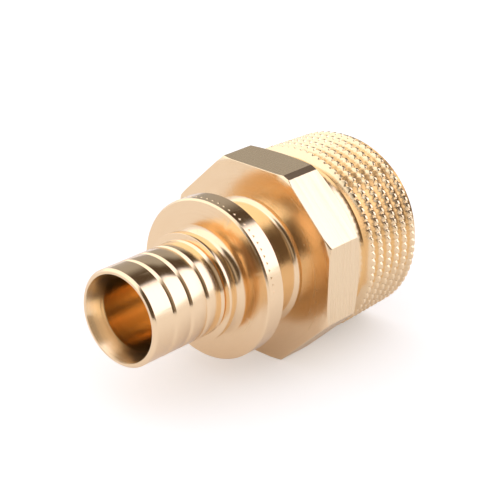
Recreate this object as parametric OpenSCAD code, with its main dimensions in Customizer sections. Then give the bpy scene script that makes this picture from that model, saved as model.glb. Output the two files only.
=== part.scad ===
// Male threaded adapter, lying on one flat of its octagon, axis along X, pipe stub towards -X.
// All sizes are millimetres. Places along the axis are counted from the mouth of the stub.

/* [Pipe stub] */
// Outer diameter of the sealing lands that the pipe is pushed over
land_d = 16.2; // [15.6:0.1:17]
// Number of grooves between the lands, without the one at the collar
groove_count = 3; // [1:1:3]
// Rear edge of the first land
groove_first_x = 4.1; // [3.6:0.1:4.6]
// Distance from one groove to the next
groove_pitch = 3.65; // [3.2:0.05:3.8]
// Width of a groove along the axis
groove_w = 0.75; // [0.5:0.05:1.2]
// Depth of a groove
groove_depth = 0.4; // [0.2:0.05:0.6]
// Width of the outer chamfer at the mouth
tip_chamfer = 0.4; // [0.2:0.05:0.6]

/* [Collar and flange] */
// Front face of the collar that stops the pipe
collar_x = 15.4; // [15.1:0.1:15.9]
// Width of the collar
collar_w = 1.3; // [0.8:0.1:1.6]
// Diameter of the collar
collar_d = 18.4; // [17.6:0.1:19.5]
// Diameter of the neck between collar and flange
front_neck_d = 15.7; // [15:0.1:16.5]
// Radius of the fillet where that neck meets the flange
front_neck_fillet = 1.6; // [0.6:0.1:1.8]
// Front face of the flange
flange_x = 19.6; // [19.2:0.1:20.4]
// Width of the flange
flange_w = 3.8; // [2.6:0.1:4.4]
// Diameter of the flange
flange_d = 27.4; // [25:0.1:29]
// Edge chamfer of the flange
flange_chamfer = 0.3; // [0.1:0.05:0.6]

/* [Octagon] */
// Diameter of the neck between flange and octagon
rear_neck_d = 20; // [18:0.1:24]
// Radius of the fillet where that neck meets the octagon
rear_neck_fillet = 1.2; // [0.6:0.1:2]
// Distance across flats
octagon_af = 33.2; // [32:0.1:34.4]
// Front face of the octagon
octagon_x = 30.85; // [30.5:0.05:31.4]
// Rear edge of a flat at its middle
octagon_end_x = 38.8; // [37.6:0.1:39]
// How far the rear cone runs on behind the middle of a flat
rear_edge_w = 0.25; // [0.1:0.05:0.5]
// Angle of the chamfer on the front corners, measured from the plane across the axis
front_chamfer_angle = 30; // [20:0.5:38]
// Diameter at which that corner chamfer begins
front_chamfer_d = 34.6; // [33.6:0.1:35.2]
// Angle of the cone on the rear corners, measured the same way
rear_cone_angle = 28; // [20:0.5:36]
// Distance from the axis to the flash land on two opposite corners
flash_land = 17.7; // [17.4:0.05:17.9]

/* [Thread] */
// Distance between neighbouring crests
thread_pitch = 2.309; // [1.814:0.001:2.5]
// Diameter over the crests at the gauge plane
thread_d = 32.84; // [31.5:0.02:33.4]
// Distance of the gauge plane from the threaded end
gauge_length = 10.4; // [9.4:0.1:11.4]
// Growth of the diameter per unit of length
thread_taper = 0.0625; // [0:0.0025:0.08]
// Depth of the thread
thread_depth = 1.35; // [1:0.05:1.45]
// Width of the crests
crest_w = 0.7; // [0.3:0.05:0.9]
// Width of the roots
root_w = 0.2; // [0.1:0.05:0.4]
// Rear end of the fitting
end_x = 56.5; // [52.9:0.1:58]
// Chamfer at the threaded end
end_chamfer = 1.1; // [0.6:0.1:1.5]
// Place of a crest along the axis, at the bottom of the fitting
crest_x = 41.5; // [40.8:0.02:43.1]
// Grip notches cut across the crests in one turn
notch_count = 76; // [60:2:84]
// Depth of the grip notches
notch_depth = 0.3; // [0.1:0.05:0.4]

/* [Bore] */
// Diameter of the bore through the stub
bore_d = 12.4; // [11:0.1:13.4]
// Diameter of the mouth
mouth_d = 14.6; // [13.6:0.1:15]
// Depth of the countersink at the mouth
mouth_depth = 2.95; // [1.5:0.05:4]
// Diameter of the wide bore at the threaded end
wide_bore_d = 25.4; // [22:0.1:26.4]
// Depth of the wide bore
wide_bore_depth = 15.9; // [9.9:0.1:18]
// Angle of the cone between the bores, measured from the axis
wide_bore_cone_angle = 59; // [45:1:75]
// Chamfer at the mouth of the wide bore
wide_bore_chamfer = 0.6; // [0.2:0.1:1]

/* [Hidden] */
brass = [0.80, 0.62, 0.38];
$fn = 96;
// Overshoot of cutting shapes past the faces they cut
over = 1;
sides = 8;
land_r = land_d / 2;
groove_r = land_r - groove_depth;
collar_r = collar_d / 2;
front_neck_r = front_neck_d / 2;
flange_r = flange_d / 2;
flange_end_x = flange_x + flange_w;
rear_neck_r = rear_neck_d / 2;
flat_r = octagon_af / 2;
corner_r = flat_r / cos(180 / sides);
front_corner_x = octagon_x + (corner_r + over - front_chamfer_d / 2) * tan(front_chamfer_angle);
rear_corner_x = octagon_end_x - (corner_r + over - flat_r) * tan(rear_cone_angle);
gauge_x = end_x - gauge_length;
// Height of the axis: the lower flat and the first crest share the surface they rest on
rest_r = max(flat_r, thread_r(octagon_end_x + rear_edge_w + thread_depth));
// The blank that the thread is cut on: undercut, ramp and end chamfer, all at 45 degrees
core_r = thread_d / 2 - thread_depth;
undercut_x = octagon_end_x + rear_edge_w;
end_r = thread_r(end_x) - end_chamfer;
flank_w = (thread_pitch - crest_w - root_w) / 2;
// Two columns of points to a notch, one on the tile between two notches and one in the notch
columns = 2 * notch_count;
first_turn = floor((undercut_x - crest_x) / thread_pitch) - 1;
turns = ceil((end_x - undercut_x) / thread_pitch) + 3;
lines = 4 * turns;

// Radius over the crests at a place along the axis
function thread_r(x) = (thread_d + (gauge_x - x) * thread_taper) / 2;
// Radius of the blank: the ramp behind the undercut and the chamfer at the end
function blank_r(x) = min(core_r + x - undercut_x, end_r + end_x - x);
// The four points of one pitch: both edges of the crest, then both edges of the root
function profile_x(p) = [-crest_w / 2, crest_w / 2, crest_w / 2 + flank_w, thread_pitch - crest_w / 2 - flank_w][p];
function profile_drop(p, column) = p > 1 ? thread_depth : column % 2 == 0 ? 0 : notch_depth;
function line_x(column, line) =
    crest_x + thread_pitch * (first_turn + floor(line / 4) + column / columns) + profile_x(line % 4);
function thread_point(column, line) =
    let (
        x = line_x(column, line),
        r = min(thread_r(x) - profile_drop(line % 4, column), blank_r(x)),
        angle = 360 * column / columns
    )
    [r * cos(angle), r * sin(angle), x];
// Points past either end are drawn in to the ring that closes it
function point_index(column, line) =
    let (
        wrapped = column == columns,
        c = wrapped ? 0 : column,
        l = wrapped ? line + 4 : line,
        x = line_x(c, l)
    )
    x <= undercut_x ? columns * (lines + 4) + c
    : x >= end_x ? columns * (lines + 5) + c
    : l * columns + c;
function ring(r, x) = [for (c = [0 : columns - 1]) [r * cos(360 * c / columns), r * sin(360 * c / columns), x]];
function whole(face) = face[0] != face[1] && face[1] != face[2] && face[2] != face[0];

// Half section of everything in front of the thread, x along the axis and y away from it
module front_section() {
    stub_section();
    collar_section();
    flange_section();
    neck_section();
}

// Pipe stub: lands with a square rear edge, each groove ramping up to the next land
module stub_section() {
    difference() {
        polygon([
            [0, 0],
            [0, land_r - tip_chamfer],
            [tip_chamfer, land_r],
            [collar_x, land_r],
            [collar_x, 0]
        ]);
        for (i = [0 : groove_count - 1]) groove_section(groove_first_x + i * groove_pitch);
        groove_section(collar_x - groove_w);
    }
}

module groove_section(x) {
    polygon([
        [x, groove_r],
        [x, land_r + over],
        [x + groove_w + over * groove_w / groove_depth, land_r + over]
    ]);
}

module collar_section() {
    translate([collar_x, 0]) square([collar_w, collar_r]);
}

// Flange with the neck in front of it
module flange_section() {
    translate([collar_x, 0]) square([flange_end_x - collar_x, front_neck_r]);
    corner_fillet(flange_x, front_neck_r, front_neck_fillet);
    polygon([
        [flange_x, 0],
        [flange_x, flange_r - flange_chamfer],
        [flange_x + flange_chamfer, flange_r],
        [flange_end_x - flange_chamfer, flange_r],
        [flange_end_x, flange_r - flange_chamfer],
        [flange_end_x, 0]
    ]);
}

// Concave fillet between a neck of radius r and a face across the axis at x
module corner_fillet(x, r, fillet) {
    difference() {
        translate([x - fillet, r - over]) square([fillet, fillet + over]);
        translate([x - fillet, r + fillet]) circle(r = fillet);
    }
}

// Neck between flange and octagon
module neck_section() {
    translate([flange_end_x, 0]) square([octagon_x - flange_end_x + over, rear_neck_r]);
    corner_fillet(octagon_x, rear_neck_r, rear_neck_fillet);
}

// Outline that the octagon is turned to: front face, corner chamfers and rear cone
module octagon_section() {
    polygon([
        [octagon_x, 0],
        [octagon_x, front_chamfer_d / 2],
        [front_corner_x, corner_r + over],
        [rear_corner_x, corner_r + over],
        [undercut_x, flat_r - rear_edge_w / tan(rear_cone_angle)],
        [undercut_x, 0]
    ]);
}

module octagon() {
    intersection() {
        rotate_extrude() turned() octagon_section();
        rotate([0, 0, 180 / sides]) cylinder(r = corner_r, h = end_x, $fn = sides);
        rotate([0, 0, 180 / sides]) translate([-flash_land, -flat_r * 2, 0])
            cube([flash_land * 2, flat_r * 4, end_x]);
    }
}

// Tapered thread with notched crests, as one closed surface on a grid that follows the helix
module thread() {
    polyhedron(
        points = concat(
            [for (line = [0 : lines + 3]) each [for (c = [0 : columns - 1]) thread_point(c, line)]],
            ring(core_r, undercut_x),
            ring(end_r, end_x),
            [[0, 0, undercut_x], [0, 0, end_x]]
        ),
        faces = [for (face = concat(skin_faces(), cap_faces())) if (whole(face)) face]
    );
}

function skin_faces() = [
    for (line = [0 : lines - 2]) for (c = [0 : columns - 1])
        let (
            a = point_index(c, line),
            b = point_index(c + 1, line),
            d = point_index(c, line + 1),
            e = point_index(c + 1, line + 1)
        )
        each [[a, e, b], [a, d, e]]
];

function cap_faces() = [
    for (c = [0 : columns - 1])
        let (
            next = (c + 1) % columns,
            front = columns * (lines + 4),
            rear = columns * (lines + 5),
            centre = columns * (lines + 6)
        )
        each [[front + c, front + next, centre], [rear + next, rear + c, centre + 1]]
];

// Turns a section drawn along x so that rotate_extrude stands it along Z
module turned() {
    rotate([0, 0, 90]) mirror([0, 1]) children();
}

module bore() {
    wide_x = end_x - wide_bore_depth;
    cone_x = wide_x - (wide_bore_d - bore_d) / 2 / tan(wide_bore_cone_angle);
    bore_r = bore_d / 2;
    wide_r = wide_bore_d / 2;
    mouth_slope = (mouth_d / 2 - bore_r) / mouth_depth;
    rotate_extrude() turned() polygon([
        [-over, 0],
        [-over, mouth_d / 2 + over * mouth_slope],
        [mouth_depth, bore_r],
        [cone_x, bore_r],
        [wide_x, wide_r],
        [end_x - wide_bore_chamfer, wide_r],
        [end_x + over, wide_r + wide_bore_chamfer + over],
        [end_x + over, 0]
    ]);
}

module adapter_body() {
    color(brass)
    translate([-end_x / 2, 0, rest_r])
    rotate([0, 90, 0])
    difference() {
        union() {
            rotate_extrude() turned() front_section();
            octagon();
            thread();
        }
        bore();
    }
}

adapter_body();
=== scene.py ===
"""Looks of a brass male threaded adapter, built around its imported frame.

Sizes in the classes are millimetres, counted along the axis from the mouth of the pipe stub. Angles round the
axis run from the top towards the viewer's side. Every mesh is put in metres in the row frame.
"""

import logging
import math
from dataclasses import dataclass, field
from enum import Enum

import bpy
import numpy as np
from mathutils import Matrix, Vector


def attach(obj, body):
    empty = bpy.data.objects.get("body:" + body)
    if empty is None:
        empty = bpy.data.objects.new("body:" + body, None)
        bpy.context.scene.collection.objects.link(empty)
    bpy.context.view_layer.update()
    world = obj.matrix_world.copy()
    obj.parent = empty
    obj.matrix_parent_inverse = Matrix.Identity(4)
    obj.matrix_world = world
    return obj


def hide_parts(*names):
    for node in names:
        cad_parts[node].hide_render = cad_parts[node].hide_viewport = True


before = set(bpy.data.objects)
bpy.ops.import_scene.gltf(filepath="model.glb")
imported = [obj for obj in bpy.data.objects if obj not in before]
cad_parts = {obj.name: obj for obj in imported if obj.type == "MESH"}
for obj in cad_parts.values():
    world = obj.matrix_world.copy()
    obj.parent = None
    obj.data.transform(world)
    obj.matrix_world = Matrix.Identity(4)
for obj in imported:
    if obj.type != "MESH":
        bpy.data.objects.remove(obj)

LOG = logging.getLogger("adapter")
BODY = "root"
NODE = "adapter_body"
MM = 0.001
# Edges that turn by more degrees than this stay sharp in the shading
SHARP_FROM = 35.0
# Arcs from this radius up are fillets, which take more steps and don't count as worn edges
FILLET_FROM = 0.5
# Degrees from one corner of the octagon to the next, and from a corner to the middle of a side
SIDE_TURN = 45.0
HALF_SIDE_TURN = 22.5

Socket = bpy.types.NodeSocket
Tree = bpy.types.NodeTree
Value = float | Socket
Fill = float | Socket | tuple[float, ...]
Colour = tuple[float, float, float]
Place = tuple[np.ndarray, np.ndarray]


class Zone(Enum):
    """Stretches of the surface that the maker finished in different ways."""

    LAND = "turned_land"
    NECK = "turned_neck"
    FACE = "faced_flange"
    CONE = "turned_cone"
    FLAT = "brushed_flat"
    FLASH = "sheared_flash"
    BORE = "bored_inside"
    THREAD = "cut_thread"
    MOUTH = "reamed_mouth"
    SOCKET = "drilled_socket"


ZONES = list(Zone)


@dataclass
class Axis:
    """Where the fitting's axis lies in the row frame, in millimetres."""

    length: float
    height: float

    def place(self, x: np.ndarray, r: np.ndarray, angle: np.ndarray) -> np.ndarray:
        """Turn places on the fitting into points of the row frame.

        Args:
            x: Distance from the mouth of the stub.
            r: Distance from the axis.
            angle: Radians from the top towards the viewer's side.

        Returns:
            Points in metres, one row each.
        """
        x, r, angle = np.broadcast_arrays(x, r, angle)
        points = np.stack([x - self.length / 2, -r * np.sin(angle), self.height + r * np.cos(angle)], axis=-1)
        return points.reshape(-1, 3) * MM


@dataclass
class Ring:
    """A row of points round the axis, the zone of the faces behind it, and its wear as an edge."""

    x: np.ndarray
    r: np.ndarray
    zone: Zone
    edge: float = 0.0


@dataclass
class Outline:
    """A turned half section, drawn corner by corner, with each corner broken by an arc."""

    points: list[tuple[float, float, Zone, float]] = field(default_factory=list)

    def to(self, x: float, r: float, zone: Zone, arc: float = 0.0) -> None:
        """Add a corner.

        Args:
            x: Distance from the mouth.
            r: Distance from the axis.
            zone: Zone of the stretch that leads to the next corner.
            arc: Radius that breaks this corner. The first and the last corner stay plain.
        """
        self.points.append((x, r, zone, arc))

    def rows(self, columns: int, steps: int = 3, fillet_steps: int = 10) -> list[Ring]:
        """Work out the rows of points, with the arcs put in.

        Args:
            columns: Number of points round the axis.
            steps: Number of stretches in the arc of a broken edge.
            fillet_steps: Number of stretches in a fillet.

        Returns:
            The rows, in the outline's order.
        """
        rows: list[Ring] = []
        ones = np.ones(columns)
        last = len(self.points) - 1
        for i, (x, r, zone, arc) in enumerate(self.points):
            if i in (0, last) or arc <= 0:
                rows.append(Ring(x * ones, r * ones, zone))
                continue
            came_from = self.points[i - 1][2]
            small = arc < FILLET_FROM
            spots = self._arc(i, steps if small else fillet_steps)
            for k, spot in enumerate(spots):
                ahead = zone if k == len(spots) - 1 else came_from
                rows.append(Ring(spot[0] * ones, spot[1] * ones, ahead, float(small)))
        return rows

    def _arc(self, i: int, count: int) -> list[np.ndarray]:
        """Work out the arc that breaks a corner.

        Args:
            i: Number of the corner.
            count: Number of stretches in the arc.

        Returns:
            Places along and away from the axis, from the start of the arc to its end.
        """
        here = np.array(self.points[i][:2])
        arc = self.points[i][3]
        before = self._unit(np.array(self.points[i - 1][:2]) - here)
        after = self._unit(np.array(self.points[i + 1][:2]) - here)
        half = 0.5 * math.acos(max(-1.0, min(1.0, float(before @ after))))
        reach = arc / math.tan(half)
        centre = here + self._unit(before + after) * arc / math.sin(half)
        start = here + before * reach - centre
        end = here + after * reach - centre
        turn = math.atan2(start[0] * end[1] - start[1] * end[0], float(start @ end))
        spots = []
        for k in range(count + 1):
            a = turn * k / count
            spoke = np.array([
                start[0] * math.cos(a) - start[1] * math.sin(a),
                start[0] * math.sin(a) + start[1] * math.cos(a),
            ])
            spots.append(centre + spoke)
        return spots

    @staticmethod
    def _unit(v: np.ndarray) -> np.ndarray:
        """The vector at length one."""
        return v / np.linalg.norm(v)


@dataclass(frozen=True)
class EdgeArcs:
    """Radii of the arcs that break the edges and fill the corners of the turned body."""

    tip: float = 0.12
    groove_lip: float = 0.03
    groove_root: float = 0.05
    groove_top: float = 0.1
    collar_foot: float = 0.04
    collar_edge: float = 0.06
    collar_back: float = 0.05
    collar_neck: float = 0.15
    front_neck: float = 1.6
    flange_edge: float = 0.06
    flange_rim: float = 0.1
    flange_back: float = 0.25
    rear_neck: float = 1.2
    undercut: float = 0.08
    end_edge: float = 0.05
    socket_edge: float = 0.08
    socket_floor: float = 0.2
    mouth_floor: float = 0.25


@dataclass
class TurnedBody:
    """The pressed and turned body: stub, collar, flange, necks, octagon, thread core and bore."""

    axis: Axis
    arcs: EdgeArcs = EdgeArcs()
    land_r: float = 8.1
    tip_chamfer: float = 0.4
    groove_ends: tuple[float, ...] = (4.1, 7.75, 11.4, 14.65)
    groove_w: float = 0.75
    groove_depth: float = 0.4
    collar_x: float = 15.4
    collar_draw: float = 0.05
    collar_end: float = 16.7
    collar_r: float = 9.2
    front_neck_r: float = 7.85
    flange_x: float = 19.6
    flange_end: float = 23.4
    flange_r: float = 13.7
    flange_chamfer: float = 0.3
    rear_neck_r: float = 10.0
    flat_r: float = 16.6
    face_margin: float = 0.6
    octagon_x: float = 30.85
    octagon_end: float = 38.8
    chamfer_slope: float = 30.0
    chamfer_r: float = 17.3
    chamfer_ease: float = 0.05
    rear_slope: float = 28.0
    undercut_x: float = 39.05
    flash_r: float = 17.7
    flash_corners: tuple[float, ...] = (22.5, 202.5)
    corner_round: float = 0.25
    flat_edge: float = 0.1
    rear_ease_x: float = 0.03
    rear_ease_r: float = 0.05
    undercut_lip: float = 0.06
    core_r: float = 15.07
    core_foot_x: float = 0.2
    core_foot_r: float = 0.19
    core_end_r: float = 14.72
    end_x: float = 56.5
    mouth_r: float = 7.3
    mouth_depth: float = 2.95
    mouth_lip_x: float = 0.02
    mouth_lip_r: float = 0.01
    bore_r: float = 6.2
    cone_x: float = 36.69
    wide_x: float = 40.6
    wide_r: float = 12.7
    wide_chamfer: float = 0.6
    # How far the two rows at the front chamfer stay inside the sides at least, in widths of a flat's edge
    inner_edges: float = 1.8
    outer_edges: float = 1.4
    # Columns of points, in degrees: over the plain stretches, round a corner and beside a flash land
    column_step: float = 1.0
    column_gap: float = 0.08
    corner_columns: tuple[float, ...] = (-0.36, -0.24, -0.12, 0.0, 0.12, 0.24, 0.36)
    flash_columns: tuple[float, ...] = (2.0, 2.1, 2.2)
    flash_half: float = 2.1
    # Slack for comparing the columns' angles with the borders of a flash land and of a corner's arc
    degree_slack: float = 0.01
    radian_slack: float = 1e-6

    def __post_init__(self) -> None:
        """Set out the columns of points round the axis."""
        extra = []
        for corner in np.arange(HALF_SIDE_TURN, 360, SIDE_TURN):
            extra += [corner + d for d in self.corner_columns]
            if corner in self.flash_corners:
                extra += [corner + side * d for side in (-1, 1) for d in self.flash_columns]
        turns = np.arange(0, 360, self.column_step)
        plain = [a for a in turns if min(abs(a - e) for e in extra) > self.column_gap]
        self.angles = np.radians(np.sort(np.array(plain + extra)))

    @property
    def columns(self) -> int:
        """Number of points round the axis."""
        return len(self.angles)

    @property
    def rear_edge_r(self) -> float:
        """Distance from the axis at which the octagon's rear meets the undercut."""
        return self.flat_r - (self.undercut_x - self.octagon_end) / math.tan(math.radians(self.rear_slope))

    def octagon_r(self) -> np.ndarray:
        """Measure the octagon's sides, with their rounded corners and the two flash lands.

        Returns:
            Distance from the axis for each column of points.
        """
        degrees = np.degrees(self.angles)
        off_flat = np.radians((degrees + HALF_SIDE_TURN) % SIDE_TURN - HALF_SIDE_TURN)
        off_corner = np.radians(degrees % SIDE_TURN - HALF_SIDE_TURN)
        half = math.radians(HALF_SIDE_TURN)
        r = self.flat_r / np.cos(off_flat)
        centre = (self.flat_r - self.corner_round) / math.cos(half)
        reach = math.atan2(self.corner_round * math.sin(half), centre + self.corner_round * math.cos(half))
        rounded = centre * np.cos(off_corner) + np.sqrt(
            np.maximum(self.corner_round**2 - (centre * np.sin(off_corner)) ** 2, 0)
        )
        r = np.where(np.abs(off_corner) < reach + self.radian_slack, rounded, r)
        for corner in self.flash_corners:
            off = np.radians((degrees - corner + 180) % 360 - 180)
            r = np.where(np.abs(off) < half, np.minimum(r, self.flash_r / np.cos(off)), r)
        return r

    def front_x(self, r: np.ndarray) -> np.ndarray:
        """Place along the axis of the octagon's turned front, at a distance from the axis."""
        return self.octagon_x + np.maximum(r - self.chamfer_r, 0) * math.tan(math.radians(self.chamfer_slope))

    def rear_x(self, r: np.ndarray) -> np.ndarray:
        """Place along the axis of the octagon's turned rear, at a distance from the axis."""
        return self.octagon_end - (r - self.flat_r) * math.tan(math.radians(self.rear_slope))

    def front_rows(self) -> list[Ring]:
        """Set out the rows from the mouth to the front face of the octagon.

        Returns:
            The rows, in order.
        """
        arcs = self.arcs
        shape = Outline()
        shape.to(0, self.mouth_r, Zone.LAND)
        shape.to(0, self.land_r - self.tip_chamfer, Zone.LAND, arcs.tip)
        shape.to(self.tip_chamfer, self.land_r, Zone.LAND, arcs.tip)
        for end in self.groove_ends:
            shape.to(end, self.land_r, Zone.LAND, arcs.groove_lip)
            shape.to(end, self.land_r - self.groove_depth, Zone.LAND, arcs.groove_root)
            shape.to(end + self.groove_w, self.land_r, Zone.LAND, arcs.groove_top)
        # The last groove ends at the foot of the collar
        shape.points.pop()
        shape.to(self.collar_x, self.land_r, Zone.LAND, arcs.collar_foot)
        shape.to(self.collar_x + self.collar_draw, self.collar_r, Zone.LAND, arcs.collar_edge)
        shape.to(self.collar_end, self.collar_r, Zone.NECK, arcs.collar_back)
        shape.to(self.collar_end, self.front_neck_r, Zone.NECK, arcs.collar_neck)
        shape.to(self.flange_x, self.front_neck_r, Zone.FACE, arcs.front_neck)
        shape.to(self.flange_x, self.flange_r - self.flange_chamfer, Zone.FACE, arcs.flange_edge)
        shape.to(self.flange_x + self.flange_chamfer, self.flange_r, Zone.LAND, arcs.flange_rim)
        shape.to(self.flange_end - self.flange_chamfer, self.flange_r, Zone.FACE, arcs.flange_rim)
        shape.to(self.flange_end, self.flange_r - self.flange_chamfer, Zone.FACE, arcs.flange_edge)
        shape.to(self.flange_end, self.rear_neck_r, Zone.NECK, arcs.flange_back)
        shape.to(self.octagon_x, self.rear_neck_r, Zone.FACE, arcs.rear_neck)
        shape.to(self.octagon_x, self.flat_r - self.face_margin, Zone.FACE)
        return shape.rows(self.columns)

    def octagon_rows(self) -> list[Ring]:
        """Set out the rows over the octagon, which follow its edges so that each stays crisp.

        Returns:
            The rows, in order.
        """
        side = self.octagon_r()
        edge, ease = self.flat_edge, self.chamfer_ease
        front, rear = self.front_x(side), self.rear_x(side)
        inner = np.minimum(self.chamfer_r - ease, side - self.inner_edges * edge)
        outer = np.minimum(self.chamfer_r + ease, side - self.outer_edges * edge)
        rows = [
            Ring(*self._front_at(inner), Zone.FACE),
            Ring(*self._front_at(outer), Zone.CONE),
            Ring(*self._front_at(side - edge), Zone.CONE, edge=1.0),
        ]
        rows += self._blend(self._front_at(side - edge), (front, side), (front + edge, side))
        rows.append(Ring(front + edge, side, Zone.FLAT, edge=1.0))
        rows.append(Ring(rear - edge, side, Zone.CONE, edge=1.0))
        rows += self._blend((rear - edge, side), (rear, side), self._rear_at(side - edge))
        rows.append(Ring(*self._rear_at(side - edge), Zone.CONE, edge=1.0))
        ones = np.ones(self.columns)
        last = ((self.undercut_x - self.rear_ease_x) * ones, (self.rear_edge_r + self.rear_ease_r) * ones)
        rows.append(Ring(*last, Zone.CONE))
        return rows

    def _front_at(self, r: np.ndarray) -> Place:
        """Place of a row on the octagon's turned front."""
        return self.front_x(r), r

    def _rear_at(self, r: np.ndarray) -> Place:
        """Place of a row on the octagon's turned rear."""
        return self.rear_x(r), r

    @staticmethod
    def _blend(a: Place, b: Place, c: Place) -> list[Ring]:
        """Set out two rows inside the arc that breaks a corner.

        Args:
            a: Place where the arc starts.
            b: The corner.
            c: Place where the arc ends.

        Returns:
            The two rows.
        """
        rows = []
        for t in (1 / 3, 2 / 3):
            wa, wb, wc = (1 - t) ** 2, 2 * t * (1 - t), t * t
            x, r = (wa * a[i] + wb * b[i] + wc * c[i] for i in (0, 1))
            rows.append(Ring(x, r, Zone.CONE, edge=1.0))
        return rows

    def core_rows(self) -> list[Ring]:
        """Set out the rows from the undercut along the thread's root, and back through the bore.

        Returns:
            The rows, in order.
        """
        arcs = self.arcs
        shape = Outline()
        shape.to(self.undercut_x, self.rear_edge_r - self.undercut_lip, Zone.CONE)
        shape.to(self.undercut_x, self.core_r, Zone.THREAD, arcs.undercut)
        shape.to(self.undercut_x + self.core_foot_x, self.core_r + self.core_foot_r, Zone.THREAD)
        shape.to(self.end_x, self.core_end_r, Zone.CONE, arcs.end_edge)
        shape.to(self.end_x, self.wide_r + self.wide_chamfer, Zone.SOCKET, arcs.socket_edge)
        shape.to(self.end_x - self.wide_chamfer, self.wide_r, Zone.SOCKET, arcs.socket_edge)
        shape.to(self.wide_x, self.wide_r, Zone.SOCKET, arcs.socket_floor)
        shape.to(self.cone_x, self.bore_r, Zone.BORE, arcs.socket_floor)
        shape.to(self.mouth_depth, self.bore_r, Zone.MOUTH, arcs.mouth_floor)
        shape.to(self.mouth_lip_x, self.mouth_r - self.mouth_lip_r, Zone.LAND)
        return shape.rows(self.columns)

    def build(self) -> bpy.types.Object:
        """Make the closed mesh of the body.

        Returns:
            The object, at the origin, whose faces carry the number of their zone.
        """
        rings = self.front_rows() + self.octagon_rows() + self.core_rows()
        count, columns = len(rings), self.columns
        points = np.concatenate([self.axis.place(g.x, g.r, self.angles) for g in rings])
        here = np.arange(columns)
        beside = (here + 1) % columns
        faces, zones = [], []
        for i, ring in enumerate(rings):
            a, b = i * columns, ((i + 1) % count) * columns
            faces.append(np.stack([a + here, b + here, b + beside, a + beside], axis=1))
            zones.append(np.full(columns, ZONES.index(ring.zone)))
        zones = np.concatenate(zones)
        self._mark_flash(rings, zones)
        mesh = bpy.data.meshes.new("turned_body")
        mesh.from_pydata(points.tolist(), [], np.concatenate(faces).tolist())
        mesh.polygons.foreach_set("material_index", zones.astype(np.int32))
        edge = mesh.attributes.new("edge", "FLOAT", "POINT")
        edge.data.foreach_set("value", np.repeat([g.edge for g in rings], columns).astype(np.float32))
        return finished(mesh, "turned_body")

    def _mark_flash(self, rings: list[Ring], zones: np.ndarray) -> None:
        """Give the narrow flash lands of the octagon a zone of their own.

        Args:
            rings: The body's rows.
            zones: Number of each face's zone, which is changed in place.
        """
        degrees = np.degrees(self.angles)
        for i, ring in enumerate(rings):
            if ring.zone is not Zone.FLAT:
                continue
            for corner in self.flash_corners:
                low = corner - self.flash_half - self.degree_slack
                high = corner + self.flash_half - self.degree_slack
                near = (degrees >= low) & (degrees < high)
                zones[i * self.columns + np.nonzero(near)[0]] = ZONES.index(Zone.FLASH)


def finished(mesh: bpy.types.Mesh, name: str) -> bpy.types.Object:
    """Link a mesh as an object, smooth it and keep its true faces flat.

    Args:
        mesh: The mesh, in metres.
        name: Name of the piece.

    Returns:
        The linked object.
    """
    mesh.validate()
    mesh.shade_smooth()
    mesh.set_sharp_from_angle(angle=math.radians(SHARP_FROM))
    piece = bpy.data.objects.new(name, mesh)
    bpy.context.scene.collection.objects.link(piece)
    weighted = piece.modifiers.new("even_normals", "WEIGHTED_NORMAL")
    weighted.mode = "FACE_AREA"
    weighted.weight = 100
    weighted.keep_sharp = True
    return piece


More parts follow.
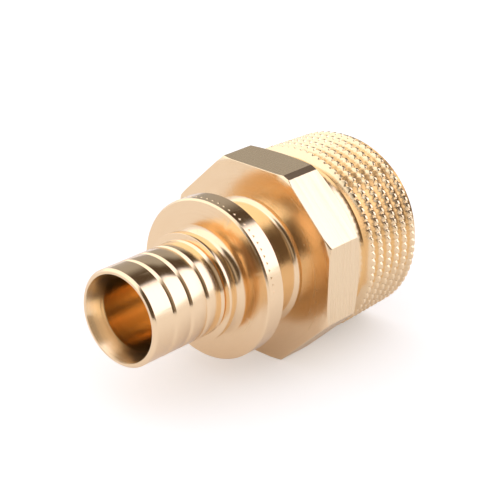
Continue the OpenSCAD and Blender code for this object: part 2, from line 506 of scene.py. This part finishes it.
@dataclass
class Formula:
    """Writes arithmetic as nodes of a tree, so that a rule can be read from left to right."""

    tree: Tree

    def __call__(self, operation: str, *values: Value) -> Socket:
        """Add one Math node.

        Args:
            operation: Name of the node's operation.
            values: Numbers or sockets, in the node's order.

        Returns:
            The node's output.
        """
        node = self.tree.nodes.new("ShaderNodeMath")
        node.operation = operation
        for socket, value in zip(node.inputs, values):
            self.feed(socket, value)
        return node.outputs[0]

    def feed(self, socket: Socket, value: Fill) -> None:
        """Link a socket into another, or set its value.

        Args:
            socket: The input to fill.
            value: A number, a colour or the output to link.
        """
        if isinstance(value, Socket):
            self.tree.links.new(value, socket)
        else:
            socket.default_value = value

    def fill(self, node: bpy.types.Node, values: dict[str, Fill]) -> None:
        """Fill a node's inputs by name, with numbers, colours or sockets."""
        for label, value in values.items():
            self.feed(node.inputs[label], value)

    def node(self, kind: str, values: dict[str, Fill], **settings: str | Tree) -> bpy.types.Node:
        """Add a node and fill its inputs.

        Args:
            kind: Type of the node.
            values: Numbers, colours or sockets by the name of the input.
            settings: Properties of the node, set before its inputs.

        Returns:
            The node.
        """
        node = self.tree.nodes.new(kind)
        for label, value in settings.items():
            setattr(node, label, value)
        self.fill(node, values)
        return node

    def mixed(self, share: Value, a: Fill, b: Fill) -> Socket:
        """The colour that lies the given share of the way from one colour to another."""
        node = self.node("ShaderNodeMix", {"Factor": share, "A": a, "B": b}, data_type="RGBA")
        return node.outputs["Result"]

    def inputs(self) -> dict[str, Socket]:
        """The tree's own inputs, by name."""
        return {socket.name: socket for socket in self.node("NodeGroupInput", {}).outputs}

    def above(self, value: Value, floor: float, gain: float) -> Socket:
        """How far a value rises above a floor, times a gain, and never under nothing."""
        return self("MAXIMUM", self("MULTIPLY", self("SUBTRACT", value, floor), gain), 0.0)

    def split(self, vector: Socket) -> list[Socket]:
        """Take a vector apart.

        Args:
            vector: The vector.

        Returns:
            Its three parts.
        """
        node = self.node("ShaderNodeSeparateXYZ", {"Vector": vector})
        return list(node.outputs)

    def join(self, x: Value, y: Value, z: Value) -> Socket:
        """The vector that has these three parts."""
        return self.node("ShaderNodeCombineXYZ", {"X": x, "Y": y, "Z": z}).outputs[0]

    def laid_round(self, axis: Axis, geometry: Socket, x: Value, r: Value, angle: Value) -> Socket:
        """Move the points of a geometry to places on the fitting.

        Args:
            axis: The fitting's axis.
            geometry: The points to move.
            x: Distance from the mouth of the stub.
            r: Distance from the axis.
            angle: Radians from the top towards the viewer's side.

        Returns:
            The moved geometry.
        """
        along = self("MULTIPLY", self("SUBTRACT", x, axis.length / 2), MM)
        across = self("MULTIPLY", self("MULTIPLY", r, self("SINE", angle)), -MM)
        up = self("MULTIPLY", self("ADD", self("MULTIPLY", r, self("COSINE", angle)), axis.height), MM)
        spots = {"Geometry": geometry, "Position": self.join(along, across, up)}
        return self.node("GeometryNodeSetPosition", spots).outputs[0]


def new_tree(name: str, sizes: dict[str, float]) -> Tree:
    """Make a geometry node tree with named inputs for its sizes and its material.

    Args:
        name: Name of the tree.
        sizes: Names of the size inputs with their defaults.

    Returns:
        The tree, still without nodes.
    """
    tree = bpy.data.node_groups.new(name, "GeometryNodeTree")
    tree.interface.new_socket("Geometry", in_out="INPUT", socket_type="NodeSocketGeometry")
    tree.interface.new_socket("Geometry", in_out="OUTPUT", socket_type="NodeSocketGeometry")
    for label, default in sizes.items():
        socket = tree.interface.new_socket(label, in_out="INPUT", socket_type="NodeSocketFloat")
        socket.default_value = default
    tree.interface.new_socket("Material", in_out="INPUT", socket_type="NodeSocketMaterial")
    return tree


def close_tree(f: Formula, geometry: Socket, material: Socket) -> None:
    """End a geometry node tree: real geometry, with its material, to the output.

    Args:
        f: Writer of the tree.
        geometry: What the tree has made.
        material: The tree's material input.
    """
    real = f.node("GeometryNodeRealizeInstances", {"Geometry": geometry}).outputs[0]
    paint = f.node("GeometryNodeSetMaterial", {"Geometry": real, "Material": material}).outputs[0]
    f.node("NodeGroupOutput", {"Geometry": paint})


def grown(tree: Tree, sizes: dict[str, float], material: bpy.types.Material) -> bpy.types.Object:
    """Run a geometry node tree and keep its result as a plain mesh.

    Args:
        tree: The tree to run, which gives the piece its name.
        sizes: Values of the tree's size inputs.
        material: Finish of the piece.

    Returns:
        The finished piece, with a plain mesh.
    """
    name = tree.name
    holder = bpy.data.objects.new(name + "_rule", bpy.data.meshes.new(name + "_rule"))
    bpy.context.scene.collection.objects.link(holder)
    modifier = holder.modifiers.new("rule", "NODES")
    modifier.node_group = tree
    sockets = {s.name: s.identifier for s in tree.interface.items_tree if s.in_out == "INPUT"}
    for label, value in {**sizes, "Material": material}.items():
        modifier[sockets[label]] = value
    evaluated = holder.evaluated_get(bpy.context.evaluated_depsgraph_get())
    mesh = bpy.data.meshes.new_from_object(evaluated)
    mesh.name = name
    holder.modifiers.clear()
    bpy.data.objects.remove(holder)
    return finished(mesh, name)


@dataclass
class GripThread:
    """The tapered outside thread, with grip notches across its crests."""

    body: TurnedBody
    pitch: float = 2.309
    crest_x: float = 41.5
    gauge_x: float = 46.1
    gauge_r: float = 16.42
    taper: float = 0.03125
    crest_w: float = 0.46
    flank_angle: float = 25.5
    ramp_x: float = 41.7
    ramp_slope: float = 1.3
    least_r: float = 14.5
    end_r: float = 14.995
    start_gap: float = 0.05
    end_gap: float = 0.03
    first_notch_x: float = 41.9
    notch_count: int = 76
    notch_depth: float = 0.4
    # Length of a notch's long face and its lean for each millimetre across the crest, in columns of points
    notch_run: float = 3.2
    notch_slant: float = 1.2
    notch_columns: int = 8
    softness: float = 0.03
    half_profile: tuple[float, ...] = (0.0, 0.12, 0.2, 0.26, 0.38, 0.6, 0.95, 1.2)

    @property
    def per_turn(self) -> int:
        """Number of columns of points in one turn."""
        return self.notch_count * self.notch_columns

    @property
    def sides(self) -> int:
        """Number of points across one turn of the thread."""
        return 2 * len(self.half_profile) - 1

    def sizes(self) -> dict[str, float]:
        """Values of the named inputs of the thread's rule."""
        return {
            "Pitch": self.pitch, "Crest place": self.crest_x, "Gauge place": self.gauge_x,
            "Gauge radius": self.gauge_r, "Taper": self.taper, "Crest width": self.crest_w,
            "Flank run": math.tan(math.radians(self.flank_angle)), "Start place": self.body.undercut_x,
            "Start radius": self.body.core_r, "End place": self.body.end_x, "End radius": self.end_r,
            "Ramp place": self.ramp_x, "Ramp slope": self.ramp_slope, "Least radius": self.least_r,
            "Notches from": self.first_notch_x, "Notch depth": self.notch_depth, "Notch run": self.notch_run,
            "Notch slant": self.notch_slant, "Edge softness": self.softness,
        }

    def tree(self) -> Tree:
        """Build the geometry node tree of the thread's rule.

        Returns:
            The tree.
        """
        tree = new_tree("grip_thread", self.sizes())
        f = Formula(tree)
        size = f.inputs()
        first_turn = math.floor((self.body.undercut_x - self.crest_x) / self.pitch) - 1
        turns = math.ceil((self.body.end_x - self.body.undercut_x) / self.pitch) + 2
        tube, column, side = self._tube(f, turns * self.per_turn)
        offset = self._across(f, side)
        turn = f("ADD", f("DIVIDE", column, float(self.per_turn)), float(first_turn))
        middle = f("ADD", size["Crest place"], f("MULTIPLY", size["Pitch"], turn))
        x = f("ADD", middle, offset)
        fall = f("MAXIMUM", self._flank(f, size, offset), self._notch(f, size, column, offset, middle))
        r = self._radius(f, size, x, fall)
        # The ends of the tube lie folded inside the body, just within the undercut and the end face
        first = f("ADD", size["Start place"], self.start_gap)
        last = f("SUBTRACT", size["End place"], self.end_gap)
        inside = f("MINIMUM", f("MAXIMUM", x, first), last)
        angle = f("SUBTRACT", f("MULTIPLY", column, 2 * math.pi / self.per_turn), math.pi)
        close_tree(f, f.laid_round(self.body.axis, tube, inside, r, angle), size["Material"])
        return tree

    def _tube(self, f: Formula, count: int) -> tuple[Socket, Socket, Socket]:
        """Make a tube whose rows are columns of points along the helix and whose sides are the profile.

        Args:
            f: Writer of the tree's arithmetic.
            count: Number of stretches along the helix.

        Returns:
            The tube, the number of a point's column and the number of its place in the profile.
        """
        shape = {"Vertices": self.sides, "Side Segments": count, "Radius": 1.0, "Depth": float(count)}
        tube = f.node("GeometryNodeMeshCylinder", shape, fill_type="NGON")
        px, py, pz = f.split(f.node("GeometryNodeInputPosition", {}).outputs[0])
        column = f("ROUND", f("ADD", pz, count / 2))
        turn_share = f("DIVIDE", f("ARCTAN2", py, px), 2 * math.pi)
        side = f("ROUND", f("MULTIPLY", f("FRACT", f("ADD", turn_share, 1.0)), float(self.sides)))
        return tube.outputs["Mesh"], column, f("MODULO", side, float(self.sides))

    def _across(self, f: Formula, side: Socket) -> Socket:
        """Look up how far each point of the profile lies from the middle of the crest.

        Args:
            f: Writer of the tree's arithmetic.
            side: Number of a point's place in the profile.

        Returns:
            The distance along the axis, less than nothing before the crest.
        """
        offsets = [-v for v in reversed(self.half_profile[1:])] + list(self.half_profile)
        pick = f.node("GeometryNodeIndexSwitch", {}, data_type="FLOAT")
        while len(pick.index_switch_items) < self.sides:
            pick.index_switch_items.new()
        f.feed(pick.inputs[0], side)
        for socket, value in zip(list(pick.inputs)[1:], offsets):
            socket.default_value = value
        return pick.outputs[0]

    @staticmethod
    def _flank(f: Formula, size: dict[str, Socket], offset: Socket) -> Socket:
        """Work out how far the flanks fall below the crest, with a soft start at its edges.

        Args:
            f: Writer of the tree's arithmetic.
            size: The tree's inputs.
            offset: Distance from the middle of the crest.

        Returns:
            The fall.
        """
        beyond = f("SUBTRACT", f("ABSOLUTE", offset), f("DIVIDE", size["Crest width"], 2.0))
        soft = f("MULTIPLY", size["Edge softness"], size["Edge softness"])
        fall = f("DIVIDE", beyond, size["Flank run"])
        return f("MULTIPLY", f("ADD", fall, f("SQRT", f("ADD", f("MULTIPLY", fall, fall), soft))), 0.5)

    def _notch(
        self, f: Formula, size: dict[str, Socket], column: Socket, offset: Socket, middle: Socket
    ) -> Socket:
        """Work out the grip notches: saw teeth with a steep face one column long, then a long face.

        Args:
            f: Writer of the tree's arithmetic.
            size: The tree's inputs.
            column: Number of a point's column.
            offset: Distance from the middle of the crest.
            middle: Place of the crest's middle along the axis.

        Returns:
            The depth that the notches cut below the crest.
        """
        period = float(self.notch_columns)
        slant = f("MULTIPLY", offset, size["Notch slant"])
        from_notch = f("MODULO", f("SUBTRACT", f("ADD", column, period), slant), period)
        long_face = f("SUBTRACT", 1.0, f("DIVIDE", f("SUBTRACT", from_notch, 1.0), size["Notch run"]))
        share = f("MAXIMUM", f("MINIMUM", long_face, from_notch), 0.0)
        begun = f("MINIMUM", f("MAXIMUM", f("SUBTRACT", middle, size["Notches from"]), 0.0), 1.0)
        return f("MULTIPLY", f("MULTIPLY", share, size["Notch depth"]), begun)

    @staticmethod
    def _radius(f: Formula, size: dict[str, Socket], x: Socket, fall: Socket) -> Socket:
        """Work out a point's distance from the axis, within the blank's ramp and end chamfer.

        Args:
            f: Writer of the tree's arithmetic.
            size: The tree's inputs.
            x: Place along the axis.
            fall: Depth below the crest.

        Returns:
            The distance.
        """
        before_gauge = f("SUBTRACT", size["Gauge place"], x)
        wide = f("ADD", size["Gauge radius"], f("MULTIPLY", before_gauge, size["Taper"]))
        up_ramp = f("MULTIPLY", f("SUBTRACT", x, size["Ramp place"]), size["Ramp slope"])
        ramp = f("ADD", size["Start radius"], up_ramp)
        chamfer = f("ADD", size["End radius"], f("SUBTRACT", size["End place"], x))
        blank = f("MINIMUM", ramp, chamfer)
        return f("MAXIMUM", f("MINIMUM", f("SUBTRACT", wide, fall), blank), size["Least radius"])

    def build(self, material: bpy.types.Material) -> bpy.types.Object:
        """The thread as a plain mesh in the given finish."""
        return grown(self.tree(), self.sizes(), material)


@dataclass
class RimTicks:
    """Plain tick marks round the flange's rim, with a bare stretch between the last and the first."""

    body: TurnedBody
    count: int = 58
    step: float = 5.0
    first: float = -198.0
    place_x: float = 20.75
    corners: int = 3
    size: float = 0.3
    height: float = 0.08

    def sizes(self) -> dict[str, float]:
        """Values of the named inputs of the ticks' rule."""
        return {
            "Step": self.step, "First": self.first, "Place": self.place_x, "Radius": self.body.flange_r,
            "Tick size": self.size, "Tick height": self.height,
        }

    def tree(self) -> Tree:
        """Build the geometry node tree that sets the ticks round the rim.

        Returns:
            The tree.
        """
        tree = new_tree("rim_ticks", self.sizes())
        f = Formula(tree)
        size = f.inputs()
        row = f.node("GeometryNodeMeshLine", {"Count": self.count}).outputs["Mesh"]
        index = f.node("GeometryNodeInputIndex", {}).outputs[0]
        angle = f("RADIANS", f("ADD", size["First"], f("MULTIPLY", index, size["Step"])))
        spots = f.laid_round(self.body.axis, row, size["Place"], size["Radius"], angle)
        foot, height = f("MULTIPLY", size["Tick size"], MM), f("MULTIPLY", size["Tick height"], MM)
        shape = {"Vertices": self.corners, "Radius Top": 0.0, "Radius Bottom": foot, "Depth": height}
        tick = f.node("GeometryNodeMeshCone", shape).outputs["Mesh"]
        spread = {"Points": spots, "Instance": tick, "Rotation": f.join(angle, 0.0, 0.0)}
        ticks = f.node("GeometryNodeInstanceOnPoints", spread).outputs[0]
        close_tree(f, ticks, size["Material"])
        return tree

    def build(self, material: bpy.types.Material) -> bpy.types.Object:
        """The ticks as a plain mesh in the given finish."""
        return grown(self.tree(), self.sizes(), material)


@dataclass(frozen=True)
class BrassFinish:
    """How one zone of the brass was left by its tool. In the bore, the colours are also raised to paint in
    the light that bounces round inside it.
    """

    zone: Zone
    colour: Colour = (0.935, 0.722, 0.465)
    dark: Colour = (0.86, 0.625, 0.36)
    roughness: float = 0.14
    line_fineness: float = 9.0
    line_height: float = 0.25
    line_depth: float = 0.02
    line_rings: float = 1.0
    line_tint: float = 0.1
    line_roughness: float = 0.05
    patch_scale: float = 0.35
    patch_amount: float = 0.3
    patch_roughness: float = 0.1
    edge_wear: float = 0.8

    def material(self, groups: dict[str, Tree]) -> bpy.types.Material:
        """Build the material of this finish.

        Args:
            groups: Shader node groups by name.

        Returns:
            The material.
        """
        material = bpy.data.materials.new(self.zone.value)
        material.use_nodes = True
        f = Formula(material.node_tree)
        coords = f.node("ShaderNodeTexCoord", {}).outputs["Object"]
        cut = {"Vector": coords, "Fineness": self.line_fineness, "Rings": self.line_rings}
        lines = f.node("ShaderNodeGroup", cut, node_tree=groups["tool_lines"]).outputs
        aged = {"Vector": coords, "Scale": self.patch_scale}
        patches = f.node("ShaderNodeGroup", aged, node_tree=groups["tarnish"]).outputs["Mask"]
        edge = f.node("ShaderNodeAttribute", {}, attribute_name="edge").outputs["Fac"]
        worn = f("SUBTRACT", 1.0, f("MULTIPLY", edge, self.edge_wear))
        shade = f("MULTIPLY", f("MULTIPLY", patches, self.patch_amount), worn)
        shade = f("ADD", shade, f("MULTIPLY", lines["Mask"], self.line_tint))
        rough = f("ADD", self.roughness, f("MULTIPLY", lines["Mask"], self.line_roughness))
        rough = f("ADD", rough, f("MULTIPLY", shade, self.patch_roughness))
        relief = {"Strength": self.line_height, "Distance": self.line_depth * MM, "Height": lines["Height"]}
        f.fill(material.node_tree.nodes["Principled BSDF"], {
            "Metallic": 1.0,
            "Base Color": f.mixed(shade, (*self.colour, 1), (*self.dark, 1)),
            "Roughness": rough,
            "Normal": f.node("ShaderNodeBump", relief).outputs["Normal"],
        })
        return material


@dataclass
class Workshop:
    """Shader node groups that the brass finishes share."""

    axis: Axis
    line_stretch: float = 60.0
    line_detail: float = 3.0
    line_breakup: float = 0.6
    line_floor: float = 0.45
    line_gain: float = 4.0
    patch_detail: float = 5.0
    patch_floor: float = 0.35
    patch_gain: float = 2.5
    speck_scale: float = 5.0
    speck_detail: float = 1.0
    speck_floor: float = 0.7
    speck_gain: float = 14.0
    darkest: float = 2.5

    def groups(self) -> dict[str, Tree]:
        """The groups by name, each built once."""
        return {"tool_lines": self._tool_lines(), "tarnish": self._tarnish()}

    @staticmethod
    def _start(name: str, inputs: tuple[str, ...], outputs: tuple[str, ...]) -> Tree:
        """Make an empty group with a vector input.

        Args:
            name: Name of the group.
            inputs: Names of its number inputs.
            outputs: Names of its number outputs.

        Returns:
            The group.
        """
        tree = bpy.data.node_groups.new(name, "ShaderNodeTree")
        tree.interface.new_socket("Vector", in_out="INPUT", socket_type="NodeSocketVector")
        for label in inputs:
            tree.interface.new_socket(label, in_out="INPUT", socket_type="NodeSocketFloat")
        for label in outputs:
            tree.interface.new_socket(label, in_out="OUTPUT", socket_type="NodeSocketFloat")
        return tree

    def _tool_lines(self) -> Tree:
        """Draw fine lines that run round the axis, as a turning tool leaves them.

        Returns:
            The group.
        """
        tree = self._start("tool_lines", ("Fineness", "Rings"), ("Height", "Mask"))
        f = Formula(tree)
        given = f.inputs()
        x, y, z = f.split(given["Vector"])
        up = f("SUBTRACT", z, self.axis.height * MM)
        r = f("SQRT", f("ADD", f("MULTIPLY", y, y), f("MULTIPLY", up, up)))
        fine = f("MULTIPLY", given["Fineness"], 1 / MM)
        slow_y, slow_z = f("MULTIPLY", y, self.line_stretch), f("MULTIPLY", up, self.line_stretch)
        drawn = {
            "Vector": f.join(f("MULTIPLY", x, fine), slow_y, slow_z),
            "W": f("MULTIPLY", f("MULTIPLY", r, fine), given["Rings"]),
            "Scale": 1.0, "Detail": self.line_detail, "Roughness": self.line_breakup,
        }
        noise = f.node("ShaderNodeTexNoise", drawn, noise_dimensions="4D").outputs["Fac"]
        mask = f.above(noise, self.line_floor, self.line_gain)
        f.node("NodeGroupOutput", {"Height": noise, "Mask": f("MINIMUM", mask, 1.0)})
        return tree

    def _tarnish(self) -> Tree:
        """Draw soft patches of slightly darker metal, with small specks.

        Returns:
            The group.
        """
        tree = self._start("tarnish", ("Scale",), ("Mask",))
        f = Formula(tree)
        given = f.inputs()
        patches = self._cloud(f, given, 1.0, self.patch_detail)
        specks = self._cloud(f, given, self.speck_scale, self.speck_detail)
        soft = f.above(patches, self.patch_floor, self.patch_gain)
        hard = f.above(specks, self.speck_floor, self.speck_gain)
        f.node("NodeGroupOutput", {"Mask": f("MINIMUM", f("ADD", soft, hard), self.darkest)})
        return tree

    @staticmethod
    def _cloud(f: Formula, given: dict[str, Socket], times: float, detail: float) -> Socket:
        """Add noise at a multiple of the group's scale.

        Args:
            f: Writer of the group's arithmetic.
            given: The group's inputs.
            times: How many times finer than the scale.
            detail: Detail of the noise.

        Returns:
            The noise.
        """
        scale = f("MULTIPLY", given["Scale"], times / MM)
        drawn = {"Vector": given["Vector"], "Scale": scale, "Detail": detail}
        return f.node("ShaderNodeTexNoise", drawn).outputs["Fac"]


FINISHES = (
    BrassFinish(Zone.LAND, roughness=0.14, line_height=0.2),
    BrassFinish(Zone.NECK, roughness=0.16, line_height=0.3, line_fineness=5.0),
    BrassFinish(Zone.FACE, roughness=0.2, line_height=0.35, line_fineness=6.0, line_tint=0.2),
    BrassFinish(Zone.CONE, roughness=0.2, line_height=0.3, line_fineness=5.0),
    BrassFinish(
        Zone.FLAT, colour=(0.91, 0.73, 0.48), dark=(0.78, 0.57, 0.35), roughness=0.24, line_height=0.8,
        line_fineness=4.0, line_rings=0.0, line_tint=0.4,
    ),
    BrassFinish(
        Zone.FLASH, colour=(0.42, 0.31, 0.2), dark=(0.26, 0.18, 0.11), roughness=0.4, line_height=0.6,
    ),
    # Painted light: the bore's colours are raised brighter and more orange than the other brass, standing in
    # for the light that bounces round inside the bore
    BrassFinish(
        Zone.BORE, colour=(0.98, 0.72, 0.39), dark=(0.94, 0.62, 0.29), roughness=0.19, line_height=0.35,
        line_fineness=3.0, line_tint=0.2,
    ),
    BrassFinish(
        Zone.THREAD, colour=(0.94, 0.735, 0.465), dark=(0.88, 0.65, 0.37), roughness=0.17, line_height=0.15,
        line_fineness=4.0,
    ),
    BrassFinish(Zone.MOUTH, roughness=0.21, line_height=0.9, line_fineness=4.0, line_tint=0.25),
    BrassFinish(Zone.SOCKET, roughness=0.24, line_height=0.4, line_fineness=3.0, line_tint=0.2),
)


@dataclass(frozen=True)
class Patch:
    """An area of the studio, as a range of headings and heights in degrees, and how bright it is there."""

    heading: tuple[float, float]
    height: tuple[float, float]
    light: Colour
    softness: float

    def share(self, f: Formula, heading: Socket, height: Socket) -> Socket:
        """Work out how much of the patch a direction sees.

        Args:
            f: Writer of the world's arithmetic.
            heading: Degrees from +X towards +Y.
            height: Degrees above the horizon.

        Returns:
            A share that runs from nothing to one, smoothly over the patch's border.
        """
        middle = sum(self.heading) / 2
        away = f("ABSOLUTE", f("SUBTRACT", heading, middle))
        away = f("MINIMUM", away, f("SUBTRACT", 360.0, away))
        beside = self._smooth(f, away, self.heading)
        away = f("ABSOLUTE", f("SUBTRACT", height, sum(self.height) / 2))
        return f("MULTIPLY", beside, self._smooth(f, away, self.height))

    def _smooth(self, f: Formula, away: Socket, span: tuple[float, float]) -> Socket:
        """Fade a patch out over its border.

        Args:
            f: Writer of the world's arithmetic.
            away: Degrees from the middle of the patch.
            span: Range of the patch.

        Returns:
            One inside, nothing outside.
        """
        half = (span[1] - span[0]) / 2
        t = f("DIVIDE", f("SUBTRACT", half + self.softness, away), 2 * self.softness)
        t = f("MINIMUM", f("MAXIMUM", t, 0.0), 1.0)
        return f("MULTIPLY", f("MULTIPLY", t, t), f("SUBTRACT", 3.0, f("MULTIPLY", t, 2.0)))


@dataclass
class Studio:
    """Floor, surroundings and camera."""

    camera_place: tuple[float, float, float] = (-178.95, -157.1, 125.8)
    heading: float = 40.92
    dip: float = 24.12
    roll: float = 1.27
    lens: float = 113.77
    sensor: float = 36.0
    # The camera's nearest and farthest distance and the floor's width are in metres
    clip: tuple[float, float] = (0.01, 20.0)
    floor_size: float = 6.0
    floor_shade: Colour = (0.9, 0.85, 0.89)
    floor_lift: float = 0.3
    floor_glow: float = 0.05
    lift_tint: Colour = (0.93, 1.0, 0.94)
    gloom: Colour = (0.085, 0.057, 0.036)
    patches: tuple[Patch, ...] = (
        Patch(heading=(-180, 180), height=(66, 91), light=(1.6, 1.62, 1.85), softness=7),
        Patch(heading=(-122, -98), height=(2, 72), light=(0.5, 0.42, 0.35), softness=7),
        Patch(heading=(20, 60), height=(-8, 40), light=(0.42, 0.4, 0.39), softness=7),
        Patch(heading=(56, 190), height=(-10, 80), light=(1.4, 1.42, 1.5), softness=7),
        Patch(heading=(60, 175), height=(-10, 14), light=(1.02, 1.05, 1.22), softness=4),
        Patch(heading=(-64, -10), height=(-10, 14), light=(1.0, 1.0, 1.06), softness=4),
        Patch(heading=(-64, -10), height=(7, 51), light=(1.72, 1.72, 2.05), softness=5),
    )

    def build(self) -> None:
        """Make the floor, the world and the camera."""
        self._floor()
        self._world()
        self._camera()
        bpy.context.scene.view_settings.view_transform = "Standard"

    def _floor(self) -> None:
        """Lay a plain pale floor that keeps the object's shadow."""
        half = self.floor_size / 2
        corners = [(-half, -half, 0), (half, -half, 0), (half, half, 0), (-half, half, 0)]
        mesh = bpy.data.meshes.new("floor")
        mesh.from_pydata(corners, [], [(0, 1, 2, 3)])
        floor = bpy.data.objects.new("floor", mesh)
        bpy.context.scene.collection.objects.link(floor)
        material = bpy.data.materials.new("pale_floor")
        material.use_nodes = True
        f = Formula(material.node_tree)
        ray = f.node("ShaderNodeLightPath", {}).outputs
        glow = f("MULTIPLY", ray["Is Glossy Ray"], self.floor_glow)
        f.fill(material.node_tree.nodes["Principled BSDF"], {
            "Base Color": (*self.floor_shade, 1),
            "Roughness": 1.0,
            "Specular IOR Level": 0.0,
            "Emission Color": (*self.lift_tint, 1),
            "Emission Strength": f("ADD", f("MULTIPLY", ray["Is Camera Ray"], self.floor_lift), glow),
        })
        mesh.materials.append(material)

    def _world(self) -> None:
        """Set up white for the camera and for plain light, and soft boxes for what the brass reflects."""
        world = bpy.data.worlds.new("studio")
        world.use_nodes = True
        bpy.context.scene.world = world
        world.node_tree.nodes.clear()
        f = Formula(world.node_tree)
        east, north, up = f.split(f.node("ShaderNodeTexCoord", {}).outputs["Generated"])
        heading = f("MULTIPLY", f("ARCTAN2", north, east), 180 / math.pi)
        height = f("MULTIPLY", f("ARCSINE", up), 180 / math.pi)
        light = (*self.gloom, 1)
        for patch in self.patches:
            light = f.mixed(patch.share(f, heading, height), light, (*patch.light, 1))
        glossy = f.node("ShaderNodeLightPath", {}).outputs["Is Glossy Ray"]
        seen = f.mixed(glossy, (1, 1, 1, 1), light)
        background = f.node("ShaderNodeBackground", {"Color": seen}).outputs[0]
        f.node("ShaderNodeOutputWorld", {"Surface": background})

    def _camera(self) -> None:
        """Set the camera at the photo's viewpoint: close to the stub, looking down along the fitting."""
        data = bpy.data.cameras.new("camera")
        data.lens = self.lens
        data.sensor_width = self.sensor
        data.clip_start, data.clip_end = self.clip
        camera = bpy.data.objects.new("camera", data)
        bpy.context.scene.collection.objects.link(camera)
        turn = Matrix.Rotation(math.radians(self.heading - 90), 4, "Z")
        turn = turn @ Matrix.Rotation(math.radians(90 - self.dip), 4, "X")
        turn = turn @ Matrix.Rotation(math.radians(self.roll), 4, "Z")
        camera.matrix_world = Matrix.Translation(Vector(self.camera_place) * MM) @ turn
        bpy.context.scene.camera = camera


def dress(piece: bpy.types.Object) -> None:
    """Let a piece ride on the body and stand for the frame's node.

    Args:
        piece: The finished piece.
    """
    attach(piece, BODY)
    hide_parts(NODE)
    LOG.info("%s: %d faces", piece.name, len(piece.data.polygons))


def main() -> None:
    """Build the adapter and its studio."""
    logging.basicConfig(level=logging.INFO)
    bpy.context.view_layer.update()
    # The fitting lies on one flat of its octagon, with the middle of its length at the origin
    axis = Axis(length=TurnedBody.end_x, height=TurnedBody.flat_r)
    Studio().build()
    groups = Workshop(axis).groups()
    materials = {finish.zone: finish.material(groups) for finish in FINISHES}
    body = TurnedBody(axis)
    turned = body.build()
    for zone in ZONES:
        turned.data.materials.append(materials[zone])
    dress(turned)
    dress(GripThread(body).build(materials[Zone.THREAD]))
    dress(RimTicks(body).build(materials[Zone.LAND]))


if __name__ == "__main__":
    main()
